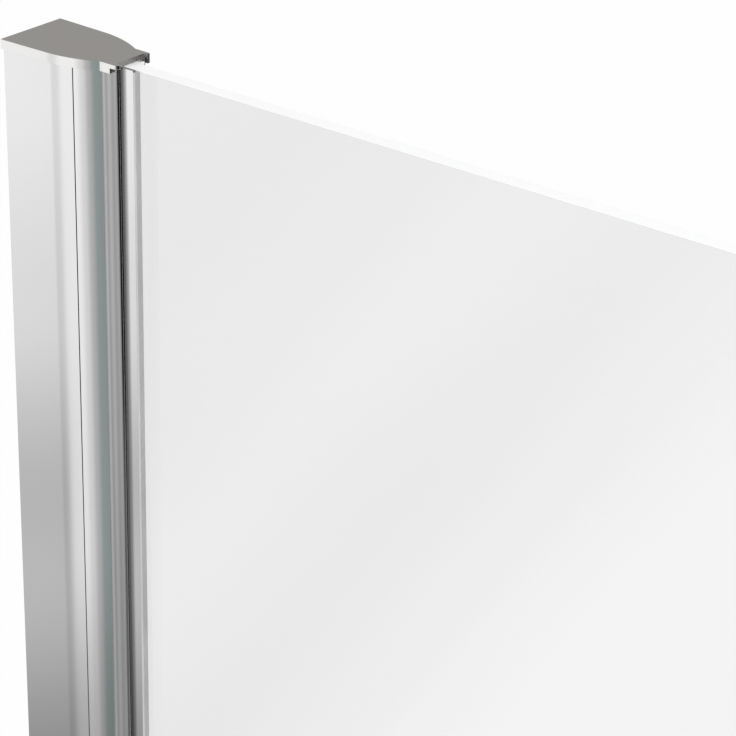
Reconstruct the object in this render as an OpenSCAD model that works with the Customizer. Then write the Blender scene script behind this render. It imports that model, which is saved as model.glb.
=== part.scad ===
// Walk-in shower screen: a clear glass panel in a two-part wall profile, steadied by a bar.
// X runs from the wall along the glass, Y across the glass into the shower, and Z up.
// The origin is on the wall, at floor level, on the middle plane of the glass.

/* [Screen] */
// Height from the floor to the top of the cap
screen_h = 1950; // [1800:10:2100]
// Distance from the wall to the free edge of the glass, with the panel pushed fully in
screen_w = 885; // [700:5:1200]
// How far the panel can be drawn out of the wall channel to meet an uneven wall
adjust_travel = 15; // [6:1:15]

/* [Glass] */
// Thickness of the glass
glass_t = 6; // [5:1:8]
// Distance from the top of the cap down to the top edge of the glass
glass_drop = 2.2; // [2:0.1:3.4]
// Height of the bottom edge of the glass above the floor
glass_lift = 8; // [6:0.5:12]
// Distance from the wall to the edge of the glass inside the profile
glass_start = 28; // [27.5:0.5:30]
// Radius of the two free corners of the glass
glass_corner_r = 6; // [2:1:30]
// Width of the polished bevel along the edges of the glass
glass_bevel = 0.5; // [0.2:0.1:1]

/* [Wall channel] */
// Width of the channel where it meets the wall
channel_w = 28; // [26:0.5:34]
// Depth of the channel, from the wall to its front edges
channel_d = 32; // [30:0.5:34]
// Thickness of the base that lies on the wall
channel_base_t = 2; // [1.5:0.1:3]
// Thickness of each arm at its front edge
arm_edge_t = 1.6; // [1.2:0.1:2]
// How much each side leans in over its straight run
side_lean = 0.6; // [0.2:0.1:1]
// Length of the straight run of each side, from the wall
side_straight = 22; // [18:0.5:24]
// Radius of the bowed sides in front of the straight run
bow_r = 44; // [40:1:54]
// Radius of the holes for the wall screws
wall_hole_r = 2.5; // [2:0.25:3]
// Distance of the outer wall screws from the ends of the channel
wall_hole_inset = 120; // [80:10:200]

/* [Glazing profile] */
// Distance from the wall to the front of the nose, with the panel pushed fully in
profile_d = 49.8; // [48:0.1:56]
// Width of the shadow line between the channel and the nose
seam_gap = 0.1; // [0.05:0.05:0.6]
// Width of the bevels on both sides of the shadow line
seam_bevel = 0.15; // [0.05:0.05:0.5]
// Thickness of the walls of the nose
nose_wall = 1.5; // [1.2:0.1:2]
// Depth of the thicker lips at the front of the nose, which hold the gaskets back
front_wall = 1.8; // [1.5:0.1:3]
// Thickness of the cheek that runs on beside the glass in front of the near lip
cheek_t = 1.4; // [1.2:0.1:2]
// How far the cheek reaches in front of the nose
cheek_l = 5.7; // [3:0.1:10]
// Radius where the bowed side runs into the straight lip
lip_fillet_r = 4; // [3:0.5:6]
// Radius of the front corners of the lips
lip_corner_r = 1.2; // [0.3:0.1:1.4]
// Thickness of the floor of the glass pocket
pocket_floor_t = 1.5; // [1.2:0.1:2]
// Thickness of the two legs that slide in the channel
leg_t = 1.5; // [1.2:0.1:2]
// Gap between a leg and the arm that it slides along
leg_gap = 0.3; // [0.2:0.05:0.5]

/* [Gaskets and packers] */
// Thickness of the gasket on each side of the glass
gasket_t = 3.1; // [2:0.1:3.5]
// Depth of the gaskets behind the front wall of the nose
gasket_d = 17; // [12:1:18]
// Thickness of the gaskets between the lips and the glass
lip_gasket_t = 1.4; // [1:0.1:2]
// Thickness of the flange that each gasket laps over the end of its lip
gasket_flange_t = 0.8; // [0.5:0.1:1.5]
// Radius of the two grooves along the back of each gasket
gasket_groove_r = 0.8; // [0.4:0.1:1]
// Length of the packers between the glass and the pocket floor
packer_l = 60; // [30:5:100]
// Thickness of the pad under the glass at the foot of the profile
foot_pad_t = 2; // [1:0.5:3]
// Thickness of the plate that closes the foot of the profile
foot_t = 1.5; // [1:0.5:2.5]

/* [Cap] */
// Thickness of the top of the cap
cap_t = 1.5; // [1:0.1:1.8]
// Height of the edge of the cap
cap_edge_h = 3.6; // [3:0.1:6]
// Thickness of the edge of the cap
cap_edge_t = 1.2; // [1:0.1:1.6]
// How far the near edge of the cap stays behind the front of the nose
cap_edge_setback = 2.4; // [1:0.1:6]
// How far the notch over the glass reaches to the near side
cap_notch_near = 6.8; // [5:0.1:7]
// Depth of the notch over the glass
cap_notch_d = 2.6; // [1.5:0.1:3]
// Radius of the inner corners of the notch
cap_notch_r = 1.5; // [0.5:0.1:2]
// Gap between the edge of the cap and the profiles
cap_gap = 0.3; // [0.2:0.05:0.5]
// Length of the plug under the cap
cap_plug_h = 14; // [8:1:20]
// Thickness of the walls of the plug
cap_plug_t = 1.5; // [1:0.1:2]

/* [Locking screws] */
// Radius of the thread of the screws that lock the panel in the channel
lock_r = 2; // [1.5:0.25:2.25]
// Radius of the heads
lock_head_r = 4; // [3.5:0.25:4.5]
// Thickness of the heads
lock_head_t = 2.4; // [2:0.1:3]
// Distance from the wall to the screws, with the panel pushed fully in
lock_x = 8.5; // [8:0.5:9]
// Distance of the top and bottom screws from the ends of the channel
lock_inset = 190; // [150:10:300]
// Gap round the screws in their slots
lock_gap = 0.3; // [0.2:0.05:0.5]
// Thickness of the arm left under the heads
lock_seat_t = 2.2; // [1.8:0.1:2.3]
// Thickness of the washers
washer_t = 0.8; // [0.5:0.1:1.2]
// Gap under the washers while the screws are loose
washer_gap = 0.1; // [0.05:0.05:0.3]
// Radius of the caps that hide the heads
screw_cover_r = 6; // [5.5:0.25:7]
// Wall of the caps that hide the heads
screw_cover_t = 1.2; // [0.8:0.1:1.5]

/* [Bottom seal] */
// Thickness of the walls of the clear seal
seal_t = 1.2; // [0.8:0.1:1.5]
// Height that the seal reaches up the glass
seal_grip_h = 10; // [6:1:16]
// Gap between the seal and the nose, and at the free end of the glass
seal_end_gap = 3; // [1:0.5:6]

/* [Support bar] */
// Distance from the middle of the glass to the wall that the bar reaches
bar_reach = 1000; // [700:10:1200]
// Radius of the bar
bar_r = 8; // [7:0.5:10]
// Wall of the bar
bar_wall = 1.2; // [1:0.1:2]
// Distance from the free edge of the glass to the bar
bar_inset = 60; // [40:5:150]
// Distance from the top edge of the glass down to the middle of the bar
bar_drop = 16; // [14:1:20]
// Depth of the bar in the clamp and in the flange
bar_socket = 16; // [12:1:20]
// Gap round the bar in its two sockets
bar_gap = 0.05; // [0.03:0.01:0.1]
// Wall of the sockets
socket_wall = 4; // [3:0.5:6]

/* [Glass clamp] */
// Width of the clamp along the glass
clamp_w = 34; // [30:1:50]
// Height of the clamp
clamp_h = 42; // [38:1:60]
// Thickness of each jaw
jaw_t = 8; // [7:0.5:10]
// Thickness of the bridge over the glass
bridge_t = 7; // [5:0.5:10]
// Radius of the corners of the clamp
clamp_corner_r = 5; // [2:0.5:8]
// Thickness of the soft liner between the clamp and the glass
liner_t = 1; // [0.6:0.1:1.6]
// Radius of the clamp's set screws
clamp_screw_r = 3; // [2.5:0.25:3.5]
// Distance between the two screws that press on the glass
clamp_screw_span = 18; // [14:1:20]
// Distance from the middle of the bar down to the screws that press on the glass
clamp_screw_drop = 8; // [4:1:12]
// Gap round each set screw
thread_gap = 0.05; // [0.03:0.01:0.1]
// Radius of the set screws that hold the bar
bar_screw_r = 2; // [1.5:0.25:2.5]

/* [Wall flange] */
// Radius of the flange plate
flange_r = 28; // [25:1:35]
// Thickness of the flange plate
flange_t = 4; // [3:0.5:6]
// Diameter of the circle of screw holes
flange_pcd = 42; // [38:1:44]
// Radius of the screw holes
flange_hole_r = 2.25; // [2:0.25:2.5]
// Gap between the cover and the flange
cover_gap = 1; // [0.6:0.1:2]
// Wall of the cover
cover_t = 1.2; // [1:0.1:2]
// Gap between the cover and the bar that it slides along
cover_slide_gap = 0.35; // [0.3:0.05:0.6]
// Gap between the rim of the cover and the wall
cover_wall_gap = 0.3; // [0.2:0.1:1]

/* [Hidden] */
$fn = 96;

// Spare length that carries a cut clear of a face
past = 1;

// The outline of the profile: a leaning straight side, a bow, and a straight lip
lean_angle = atan(side_lean / side_straight);
bow_start = [side_straight, channel_w / 2 - side_lean];
bow_centre = bow_start - bow_r * [sin(lean_angle), cos(lean_angle)];
pocket_half = glass_t / 2 + gasket_t;
lip_half = pocket_half + nose_wall;
lip_inner = glass_t / 2 + lip_gasket_t;
cheek_half = lip_inner + cheek_t;

// Half the width of the bowed outline at a distance x from the wall
function bow_half(x) = bow_centre.y + sqrt(bow_r * bow_r - pow(x - bow_centre.x, 2));

// Half the width of the leaning side, grown outwards by g
function side_half(x, g) = bow_start.y + g / cos(lean_angle)
                           + (bow_start.x - x) * tan(lean_angle);

// Inside the channel
arm_half = bow_half(channel_d) - arm_edge_t;
leg_half = arm_half - leg_gap;
leg_start = channel_base_t + past;
seat_y = arm_half + lock_seat_t;
washer_y = seat_y + washer_gap;
head_y = washer_y + washer_t;
head_end = head_y + lock_head_t;
nose_start = channel_d + seam_gap;
packer_t = 2.5;
pocket_start = glass_start - packer_t;
pocket_end = profile_d - front_wall;
cheek_end = profile_d + cheek_l;
cap_front = profile_d + cap_gap + cap_edge_t;
cap_notch_far = lip_half + cap_gap;

// Heights
profile_top = screen_h - cap_t;
channel_top = profile_top - cap_gap;
glass_top = screen_h - glass_drop;
channel_mid = channel_top / 2;
lock_heights = [lock_inset, channel_mid, channel_top - lock_inset];
wall_hole_span = channel_top - 2 * wall_hole_inset;
packer_heights = [lock_inset, channel_mid, channel_top - lock_inset];

// The support bar
bar_x = screen_w - bar_inset;
bar_z = glass_top - bar_drop;
clamp_half = glass_t / 2 + liner_t + jaw_t;
clamp_top = glass_top + liner_t + bridge_t;
socket_r = bar_r + bar_gap;
collar_r = socket_r + socket_wall;
bar_near_end = clamp_half;
bar_far_end = bar_reach - flange_t;
socket_front = clamp_half + bar_socket;
collar_start = bar_far_end - bar_socket;
cover_r = flange_r + cover_gap + cover_t;
cover_start = collar_start - cover_gap - cover_t;
cover_end = bar_reach - cover_wall_gap;

// Round-cornered rectangle, centred
module soft_rectangle(width, height, radius) {
    square([width, height - 2 * radius], center = true);
    square([width - 2 * radius, height], center = true);
    for (x = [-1, 1], y = [-1, 1])
        translate([x * (width / 2 - radius), y * (height / 2 - radius)])
            circle(r = radius);
}

// Slot with round ends that runs along X from one screw centre to another
module slot_shape(length, radius) {
    translate([0, -radius])
        square([length, 2 * radius]);
    circle(r = radius);
    translate([length, 0])
        circle(r = radius);
}

// Cylinder that runs along +Y from the point given
module rod_y(from, radius, length) {
    translate(from)
        rotate([-90, 0, 0])
            cylinder(r = radius, h = length);
}

// Both halves of a shape that is drawn on the +Y side
module both_sides() {
    children();
    mirror([0, 1, 0])
        children();
}

// The hollow corner where the bow runs into the lip, grown outwards by g
module lip_fillet(g) {
    radius = lip_fillet_r - g;
    lip_y = lip_half + g;
    centre_y = lip_y + radius;
    reach = bow_r + g + radius;
    centre_x = bow_centre.x + sqrt(reach * reach - pow(centre_y - bow_centre.y, 2));
    centre = [centre_x, centre_y];
    touch = bow_centre + (centre - bow_centre) * (bow_r + g) / reach;
    difference() {
        polygon([touch, centre, [centre_x, lip_y - past], [touch.x, lip_y - past]]);
        translate(centre)
            circle(r = radius);
    }
}

// One half of the profile's outline, grown outwards by g
module half_outline(g) {
    corner = lip_corner_r + g / 2;
    front = profile_d + g;
    bow_x = bow_start.x + g * sin(lean_angle);
    polygon([[0, 0], [bow_x, 0], [bow_x, side_half(bow_x, g)], [0, side_half(0, g)]]);
    intersection() {
        translate(bow_centre)
            circle(r = bow_r + g, $fn = 4 * $fn);
        translate([bow_x - past, 0])
            square([front - corner - bow_x, channel_w]);
    }
    translate([bow_x - past, 0])
        square([front - corner - bow_x + past, lip_half + g]);
    translate([bow_x - past, 0])
        square([front - bow_x + past, lip_half + g - corner]);
    translate([front - corner, lip_half + g - corner])
        circle(r = corner);
    lip_fillet(g);
}

// The whole outline, grown outwards by g and cut to the stretch from x0 to x1
module outline(g, x0, x1) {
    intersection() {
        both_sides()
            half_outline(g);
        translate([x0, -channel_w])
            square([x1 - x0, 2 * channel_w]);
    }
}

// Bevels where the channel and the nose meet, at a distance x from the wall
module seam_bevels(x) {
    both_sides()
        translate([x, bow_half(x)])
            rotate(45)
                square(sqrt(2) * seam_bevel, center = true);
}

// Fixed channel, screwed to the wall through its base
module wall_channel() {
    color([0.80, 0.81, 0.82])
        difference() {
            linear_extrude(channel_top)
                difference() {
                    outline(0, 0, channel_d);
                    translate([channel_base_t, -arm_half])
                        square([channel_d, 2 * arm_half]);
                    seam_bevels(channel_d);
                }
            for (i = [0:3])
                translate([-past, 0, wall_hole_inset + i * wall_hole_span / 3])
                    rotate([0, 90, 0])
                        cylinder(r = wall_hole_r, h = channel_base_t + 2 * past);
            for (z = lock_heights) {
                translate([lock_x, arm_half - past, z])
                    rotate([-90, 0, 0])
                        linear_extrude(channel_w)
                            slot_shape(adjust_travel, lock_r + lock_gap);
                translate([lock_x, seat_y, z])
                    rotate([-90, 0, 0])
                        linear_extrude(channel_w)
                            slot_shape(adjust_travel, lock_head_r + 2 * lock_gap);
            }
        }
}

// Section of the bowed nose with its glass pocket
module nose_section() {
    difference() {
        union() {
            outline(0, nose_start, profile_d);
            translate([pocket_start - pocket_floor_t, -lip_half])
                square([nose_start + past - pocket_start + pocket_floor_t, 2 * lip_half]);
            translate([pocket_end, -cheek_half])
                square([cheek_end - pocket_end, cheek_half]);
        }
        translate([pocket_start, -pocket_half])
            square([pocket_end - pocket_start, 2 * pocket_half]);
        translate([pocket_end - past, -lip_inner])
            square([cheek_end - pocket_end + 2 * past, 2 * lip_inner]);
        both_sides()
            intersection() {
                translate(bow_centre)
                    circle(r = bow_r - nose_wall, $fn = 4 * $fn);
                translate([nose_start + nose_wall, lip_half])
                    square([profile_d, channel_w]);
            }
        seam_bevels(nose_start);
    }
}

// Profile that carries the glass, with two legs that slide in the wall channel
module glazing_profile() {
    color([0.82, 0.83, 0.84])
        difference() {
            translate([0, 0, foot_t]) {
                linear_extrude(profile_top - foot_t)
                    nose_section();
                for (side = [-1, 1])
                    translate([leg_start, side * (leg_half - leg_t / 2) - leg_t / 2, 0])
                        cube([nose_start + past - leg_start, leg_t, profile_top - foot_t]);
            }
            for (z = lock_heights)
                rod_y([lock_x, leg_half - leg_t - past, z], lock_r + thread_gap,
                      leg_t + 2 * past);
        }
}

// Toughened glass with bevelled edges
module glass_panel() {
    width = screen_w - glass_start;
    height = glass_top - glass_lift;
    half = glass_t / 2;
    color([0.80, 0.88, 0.86, 0.4])
        translate([glass_start, 0, glass_lift])
            intersection() {
                translate([0, half, 0])
                    rotate([90, 0, 0])
                        linear_extrude(glass_t)
                            union() {
                                square([width - glass_corner_r, height]);
                                translate([0, glass_corner_r])
                                    square([width, height - 2 * glass_corner_r]);
                                for (z = [glass_corner_r, height - glass_corner_r])
                                    translate([width - glass_corner_r, z])
                                        circle(r = glass_corner_r);
                            }
                rotate([90, 0, 90])
                    linear_extrude(width)
                        bevelled_strip(half, height);
                linear_extrude(height)
                    rotate(-90)
                        bevelled_strip(half, width);
            }
}

// Long strip with its four long corners bevelled, from y = 0 to y = length
module bevelled_strip(half, length) {
    polygon([[-half, glass_bevel], [glass_bevel - half, 0],
             [half - glass_bevel, 0], [half, glass_bevel],
             [half, length - glass_bevel], [half - glass_bevel, length],
             [glass_bevel - half, length], [-half, length - glass_bevel]]);
}

// Gasket pressed in beside the glass behind a lip, drawn on the +Y side
module gasket(lip_end) {
    color([0.78, 0.79, 0.79])
        translate([0, 0, glass_lift])
            linear_extrude(glass_top - glass_lift)
                difference() {
                    union() {
                        translate([pocket_end - gasket_d, glass_t / 2])
                            square([gasket_d, gasket_t]);
                        translate([pocket_end - past, glass_t / 2])
                            square([lip_end - pocket_end + past + gasket_flange_t / 2, lip_gasket_t]);
                        translate([lip_end, glass_t / 2])
                            square([gasket_flange_t, cheek_half - glass_t / 2]);
                    }
                    for (i = [1, 2])
                        translate([pocket_end - i * gasket_d / 3, pocket_half])
                            circle(r = gasket_groove_r);
                }
}

module near_gasket() {
    mirror([0, 1, 0])
        gasket(cheek_end);
}

module far_gasket() {
    gasket(profile_d);
}

// Packers between the edge of the glass and the floor of its pocket
module glass_packers() {
    color([0.25, 0.25, 0.26])
        for (z = packer_heights)
            translate([pocket_start, -glass_t / 2, z - packer_l / 2])
                cube([packer_t, glass_t, packer_l]);
}

// Soft pad that the glass stands on inside the nose
module glass_foot_pad() {
    color([0.25, 0.25, 0.26])
        translate([pocket_end - gasket_d, -glass_t / 2, glass_lift - foot_pad_t])
            cube([gasket_d, glass_t, foot_pad_t]);
}

// Plate that closes the foot of the nose, with a plug that carries the pad
module profile_foot() {
    plug_half = pocket_half - cap_gap / 2;
    color([0.35, 0.35, 0.36]) {
        linear_extrude(foot_t)
            outline(0, nose_start, profile_d);
        translate([nose_start + cap_gap, -plug_half, foot_t])
            cube([pocket_end - nose_start - 2 * cap_gap, 2 * plug_half,
                  glass_lift - foot_pad_t - foot_t]);
    }
}

// Space in front of the far side of the cap, which ends with the nose
module cap_far_cut() {
    translate([profile_d + cap_gap, 0])
        square([cap_front, channel_w]);
}

// Outline of the cap with the notch over the glass, which reaches to the far edge
module cap_outline() {
    difference() {
        outline(cap_gap + cap_edge_t, 0, cap_front);
        translate([cap_front + cap_notch_r, (cap_notch_far - cap_notch_near) / 2])
            soft_rectangle(2 * (cap_notch_d + cap_notch_r), cap_notch_near + cap_notch_far,
                           cap_notch_r);
        cap_far_cut();
    }
}

// Outline of the edge round the cap, which is open at the wall and at the front
module cap_edge_outline() {
    edge_front = profile_d - cap_edge_setback;
    edge_half = side_half(0, cap_gap + cap_edge_t) + past;
    difference() {
        outline(cap_gap + cap_edge_t, 0, cap_front);
        outline(cap_gap, -past, profile_d + cap_gap);
        translate([-past, -side_half(0, cap_gap)])
            square([2 * past, 2 * side_half(0, cap_gap)]);
        translate([edge_front, -edge_half])
            square([cap_front + past - edge_front, edge_half + cap_notch_far]);
        cap_far_cut();
    }
}

// Cap over both profiles, pushed in between the legs, with a notch over the glass
module top_cap() {
    plug_half = leg_half - leg_t - cap_gap / 2;
    plug_start = leg_start + past;
    plug_end = pocket_start - pocket_floor_t - cap_gap;
    color([0.58, 0.56, 0.54]) {
        translate([0, 0, profile_top])
            linear_extrude(cap_t)
                cap_outline();
        translate([0, 0, screen_h - cap_edge_h])
            linear_extrude(cap_edge_h - cap_t)
                cap_edge_outline();
        translate([plug_start, 0, profile_top - cap_plug_h])
            linear_extrude(cap_plug_h)
                difference() {
                    translate([0, -plug_half])
                        square([plug_end - plug_start, 2 * plug_half]);
                    translate([cap_plug_t, cap_plug_t - plug_half])
                        square([plug_end - plug_start - 2 * cap_plug_t,
                                2 * (plug_half - cap_plug_t)]);
                }
    }
}

// Pan-head screws through the slots of the far arm into the leg behind it
module locking_screws() {
    color([0.66, 0.67, 0.68])
        for (z = lock_heights) {
            rod_y([lock_x, leg_half - 2 * leg_t, z], lock_r, head_y + past - leg_half + 2 * leg_t);
            difference() {
                rod_y([lock_x, head_y, z], lock_head_r, lock_head_t);
                rod_y([lock_x, head_y + lock_head_t / 2, z], lock_r / 2, lock_head_t);
            }
        }
}

module locking_washers() {
    color([0.85, 0.85, 0.85])
        for (z = lock_heights)
            difference() {
                rod_y([lock_x, washer_y, z], lock_head_r, washer_t);
                rod_y([lock_x, washer_y - past, z], lock_r + thread_gap, washer_t + 2 * past);
            }
}

// Caps that snap over the heads of the locking screws
module screw_covers() {
    rim_y = side_half(lock_x - screw_cover_r, 0) + lock_gap;
    color([0.80, 0.81, 0.82])
        for (z = lock_heights)
            difference() {
                rod_y([lock_x, rim_y, z], screw_cover_r, head_end + screw_cover_t - rim_y);
                rod_y([lock_x, rim_y - past, z], lock_head_r + thread_gap,
                      head_end + past - rim_y);
            }
}

// Clear seal clipped on the bottom edge of the glass, with a soft tube on the floor
module bottom_seal() {
    start = cheek_end + gasket_flange_t + seal_end_gap;
    tube_r = (glass_lift - seal_t) / 2;
    color([0.85, 0.87, 0.87, 0.5])
        translate([start, 0, 0])
            rotate([90, 0, 90])
                linear_extrude(screen_w - seal_end_gap - start)
                    difference() {
                        union() {
                            translate([-glass_t / 2 - seal_t, glass_lift - seal_t])
                                square([glass_t + 2 * seal_t, seal_t + seal_grip_h]);
                            translate([0, tube_r])
                                circle(r = tube_r);
                            translate([-seal_t, tube_r])
                                square([2 * seal_t, tube_r + seal_t / 2]);
                        }
                        translate([-glass_t / 2, glass_lift])
                            square([glass_t, seal_grip_h + past]);
                        translate([0, tube_r])
                            circle(r = tube_r - seal_t);
                    }
}

// Clamp that sits over the top edge of the glass, with a socket for the bar
module glass_clamp() {
    glass_slot = glass_t / 2 + liner_t;
    color([0.78, 0.79, 0.80])
        difference() {
            union() {
                translate([bar_x, -clamp_half, clamp_top - clamp_h / 2])
                    rotate([-90, 0, 0])
                        linear_extrude(2 * clamp_half)
                            soft_rectangle(clamp_w, clamp_h, clamp_corner_r);
                rod_y([bar_x, clamp_half - past, bar_z], collar_r, bar_socket + past);
            }
            translate([bar_x - clamp_w, -glass_slot, clamp_top - clamp_h - past])
                cube([2 * clamp_w, 2 * glass_slot, clamp_h + past - bridge_t]);
            rod_y([bar_x, bar_near_end, bar_z], socket_r, bar_socket + past);
            for (x = [-1, 1])
                rod_y([bar_x + x * clamp_screw_span / 2, -clamp_half - past,
                       bar_z - clamp_screw_drop],
                      clamp_screw_r + thread_gap, jaw_t + 2 * past);
            translate([bar_x, clamp_half + bar_socket / 2, bar_z - collar_r - past])
                cylinder(r = bar_screw_r + thread_gap, h = collar_r + past);
        }
}

// Soft liner folded over the top edge of the glass inside the clamp
module clamp_liner() {
    inner = glass_t / 2;
    height = clamp_h - bridge_t - clamp_corner_r;
    width = clamp_w - 2 * clamp_corner_r;
    color([0.22, 0.22, 0.23])
        translate([bar_x - width / 2, 0, 0])
            difference() {
                translate([0, -inner - liner_t, glass_top + liner_t - height])
                    cube([width, glass_t + 2 * liner_t, height]);
                translate([-past, -inner, glass_top - height - past])
                    cube([width + 2 * past, glass_t, height + past]);
            }
}

// Set screws in the near jaw that press the liner on the glass
module clamp_screws() {
    color([0.55, 0.56, 0.57])
        for (x = [-1, 1])
            set_screw([bar_x + x * clamp_screw_span / 2, -clamp_half + past / 2,
                       bar_z - clamp_screw_drop], [-90, 0, 0], clamp_screw_r, jaw_t - past / 2);
}

// Set screw with a six-sided key socket, driven along its own +Z
module set_screw(at, turn, radius, length) {
    translate(at)
        rotate(turn)
            difference() {
                cylinder(r = radius, h = length);
                translate([0, 0, -past])
                    cylinder(r = radius / 2, h = past + length / 3, $fn = 6);
            }
}

// Set screw that holds the bar in the clamp
module bar_screw() {
    color([0.55, 0.56, 0.57])
        set_screw([bar_x, clamp_half + bar_socket / 2, bar_z - collar_r], [0, 0, 0],
                  bar_screw_r, collar_r - bar_r);
}

// Tube from the glass to the wall across the shower
module support_bar() {
    color([0.80, 0.81, 0.82])
        difference() {
            rod_y([bar_x, bar_near_end, bar_z], bar_r, bar_far_end - bar_near_end);
            rod_y([bar_x, bar_near_end - past, bar_z], bar_r - bar_wall,
                  bar_far_end - bar_near_end + 2 * past);
        }
}

// Flange that is screwed to the wall and holds the far end of the bar
module wall_flange() {
    color([0.72, 0.73, 0.74])
        difference() {
            union() {
                rod_y([bar_x, bar_far_end, bar_z], flange_r, flange_t);
                rod_y([bar_x, collar_start, bar_z], collar_r, bar_socket + past);
            }
            rod_y([bar_x, collar_start - past, bar_z], socket_r, bar_socket + past);
            for (i = [0:2])
                translate([bar_x, 0, bar_z])
                    rotate([0, 120 * i, 0])
                        rod_y([0, bar_far_end - past, flange_pcd / 2], flange_hole_r,
                              flange_t + 2 * past);
            translate([bar_x, collar_start + bar_socket / 2, bar_z - collar_r - past])
                cylinder(r = bar_screw_r + thread_gap, h = collar_r + past);
        }
}

// Set screw that holds the bar in the flange
module flange_screw() {
    color([0.55, 0.56, 0.57])
        set_screw([bar_x, collar_start + bar_socket / 2, bar_z - collar_r], [0, 0, 0],
                  bar_screw_r, collar_r - bar_r);
}

// Cover that slides along the bar and hides the flange and its screws
module flange_cover() {
    color([0.80, 0.81, 0.82])
        difference() {
            rod_y([bar_x, cover_start, bar_z], cover_r, cover_end - cover_start);
            rod_y([bar_x, cover_start + cover_t, bar_z], cover_r - cover_t,
                  cover_end - cover_start);
            rod_y([bar_x, cover_start - past, bar_z], bar_r + cover_slide_gap,
                  cover_t + 2 * past);
        }
}

wall_channel();
glazing_profile();
glass_panel();
near_gasket();
far_gasket();
glass_packers();
glass_foot_pad();
profile_foot();
top_cap();
locking_screws();
locking_washers();
screw_covers();
bottom_seal();
glass_clamp();
clamp_liner();
clamp_screws();
bar_screw();
support_bar();
wall_flange();
flange_screw();
flange_cover();
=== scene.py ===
import math

import bmesh
import bpy
from mathutils import Matrix, Vector
from mathutils.geometry import tessellate_polygon


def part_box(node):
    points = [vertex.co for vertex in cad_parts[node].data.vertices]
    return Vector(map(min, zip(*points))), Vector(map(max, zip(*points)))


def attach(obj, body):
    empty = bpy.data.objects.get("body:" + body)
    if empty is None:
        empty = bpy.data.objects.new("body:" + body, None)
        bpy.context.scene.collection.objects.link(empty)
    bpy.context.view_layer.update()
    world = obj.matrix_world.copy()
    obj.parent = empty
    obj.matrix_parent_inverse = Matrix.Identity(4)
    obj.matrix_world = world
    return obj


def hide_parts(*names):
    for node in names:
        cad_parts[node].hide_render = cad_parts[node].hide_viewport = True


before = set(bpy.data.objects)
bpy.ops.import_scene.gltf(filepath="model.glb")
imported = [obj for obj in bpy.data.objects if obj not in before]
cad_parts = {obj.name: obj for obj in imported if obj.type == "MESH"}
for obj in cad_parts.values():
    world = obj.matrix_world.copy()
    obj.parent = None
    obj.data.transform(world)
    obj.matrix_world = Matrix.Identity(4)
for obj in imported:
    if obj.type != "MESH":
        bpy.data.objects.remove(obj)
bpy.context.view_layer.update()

# The wall channel is the fixed half of the upright: a U of bright polished aluminium, screwed to
# the wall through its base. It is pressed through a die, so its section is drawn once and pushed
# to length, and the faint lines of the die run up it. Slots in the far arm take locking screws.

MM = 0.001
CHANNEL_WIDTH = 28.0
CHANNEL_DEPTH = 32.0
CHANNEL_BASE = 2.0
CHANNEL_EASE = 0.15
SIDE_LEAN = 0.6
SIDE_STRAIGHT = 22.0
BOW_RADIUS = 44.0
BOW_STEP = 0.9
BOW_POINTS = 10
LEAN_ANGLE = math.atan2(SIDE_LEAN, SIDE_STRAIGHT)
BOW_START = (SIDE_STRAIGHT, CHANNEL_WIDTH / 2 - SIDE_LEAN)
BOW_CENTRE = (BOW_START[0] - BOW_RADIUS * math.sin(LEAN_ANGLE),
              BOW_START[1] - BOW_RADIUS * math.cos(LEAN_ANGLE))
ARM_EDGE = 1.6
SEAM_BEVEL = 0.15
CUT_PAST = 1.0
WALL_HOLES = 4
WALL_HOLE_RADIUS = 2.5
WALL_HOLE_INSET = 120.0
SLOT_START = 8.5
SLOT_TRAVEL = 15.0
SLOT_RADIUS = 2.3
SLOT_CUT = 8.0
SLOT_HEIGHTS = (190.0, 974.1, 1758.2)
HEAD_SLOT_RADIUS = 4.6
HEAD_SLOT_FLOOR = 2.2
BRIGHT_GREY = 0.905
BRIGHT_ROUGHNESS = (0.03, 0.08)
NOISE_LOW = 0.3
NOISE_HIGH = 0.7


def arc(centre, radius, start, end, steps):
    """Points along an arc, angles in degrees."""
    angles = [math.radians(start + (end - start) * i / steps) for i in range(steps + 1)]
    return [(centre[0] + radius * math.cos(a), centre[1] + radius * math.sin(a)) for a in angles]


def mirrored_side(outline):
    """The same outline on the other side of the glass, run through backwards."""
    return [(x, -y) for x, y in reversed(outline)]


def bow_half(x, grow=0.0):
    """Half the width of the bowed side, at a distance x from the wall."""
    reach = BOW_RADIUS + grow
    return BOW_CENTRE[1] + math.sqrt(reach * reach - (x - BOW_CENTRE[0]) ** 2)


def side_half(x, grow=0.0):
    """Half the width of the leaning side, at a distance x from the wall."""
    return (BOW_START[1] + grow / math.cos(LEAN_ANGLE)
            + (BOW_START[0] - x) * math.tan(LEAN_ANGLE))


def as_piece(name, shape):
    """Makes the finished shape into a piece of the scene."""
    bmesh.ops.recalc_face_normals(shape, faces=shape.faces)
    mesh = bpy.data.meshes.new(name)
    shape.to_mesh(mesh)
    shape.free()
    piece = bpy.data.objects.new(name, mesh)
    bpy.context.scene.collection.objects.link(piece)
    return piece


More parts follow.
